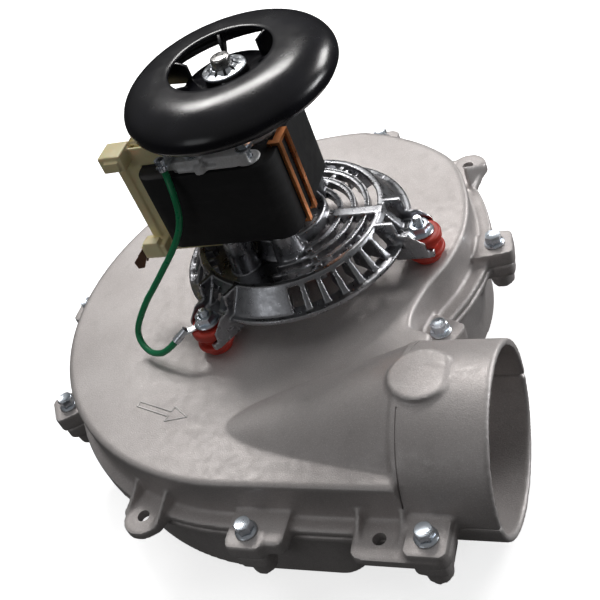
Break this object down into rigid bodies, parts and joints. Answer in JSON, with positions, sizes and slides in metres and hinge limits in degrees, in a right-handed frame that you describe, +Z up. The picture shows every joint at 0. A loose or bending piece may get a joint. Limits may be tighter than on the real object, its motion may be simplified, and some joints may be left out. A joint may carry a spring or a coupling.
{
  "type": "combustion fan",
  "caption": "Gas furnace draft inducer: cast scroll blower with a round outlet, and a shaded-pole motor with a cooling fan on a ventilated bracket.",
  "frame": {"origin": "middle of the whole object's box, at the level of the lower housing's flat bottom", "axes": "+Z up along the motor shaft, +X out of the round outlet, +Y across the scroll, away from the outlet side"},
  "size_m": [0.2346, 0.2625, 0.1725],
  "materials": {
    "cast_housing": "satin as-cast, fine sparkle",
    "bracket_casting": "dark semi-gloss die casting, bright worn edges",
    "end_casting": "bright die casting",
    "laminations": "black varnish over stacked steel sheets",
    "nylon": "cream moulded nylon",
    "coil_tape": "wound tape",
    "copper": "bare copper strip",
    "bronze": "oiled sintered bronze",
    "terminal": "brown tarnished blade",
    "zinc": "bright zinc plate, faint blue",
    "steel": "ground bar",
    "galvanised": "galvanised sheet",
    "silicone": "red moulded silicone rubber",
    "fan_plastic": "glossy black moulding",
    "wire_insulation": "green PVC insulation"
  },
  "bodies": {
    "housing": {"coil_bobbin": "nylon", "coil_winding": "coil_tape", "core_bar": "laminations", "ground_wire": "wire_insulation", "housing_screw_1": "zinc", "housing_screw_2": "zinc", "housing_screw_3": "zinc", "housing_screw_4": "zinc", "housing_screw_5": "zinc", "housing_screw_6": "zinc", "housing_screw_7": "zinc", "housing_screw_8": "zinc", "lower_bearing": "bronze", "lower_housing": "cast_housing", "motor_bracket": "bracket_casting", "mount_nut_1": "zinc", "mount_nut_2": "zinc", "mount_nut_3": "zinc", "mount_stud_1": "zinc", "mount_stud_2": "zinc", "mount_stud_3": "zinc", "rubber_mount_1": "silicone", "rubber_mount_2": "silicone", "rubber_mount_3": "silicone", "shading_coil_1": "copper", "shading_coil_2": "copper", "shading_coil_3": "copper", "shading_coil_4": "copper", "shaft_seal": "silicone", "spade_terminal_1": "terminal", "spade_terminal_2": "terminal", "stack_bolt_1": "zinc", "stack_bolt_2": "zinc", "stack_bolt_3": "zinc", "stack_bolt_4": "zinc", "stator_stack": "laminations", "upper_bearing": "bronze", "upper_bracket": "end_casting", "upper_housing": "cast_housing", "wire_terminal_ring": "zinc", "wire_terminal_top": "zinc"},
    "rotor": {"shaft": "steel", "rotor_core": "steel", "rotor_ring_lower": "cast_housing", "rotor_ring_upper": "cast_housing", "heat_slinger": "galvanised", "impeller": "galvanised", "impeller_hub": "steel", "cooling_fan": "fan_plastic", "fan_retainer": "zinc"}
  },
  "joints": [
    {"name": "rotor_spin", "type": "hinge", "parent": "housing", "child": "rotor", "pos_m": [0.0174, 0.00995, 0.1], "axis": [0, 0, 1], "continuous": true}
  ]
}
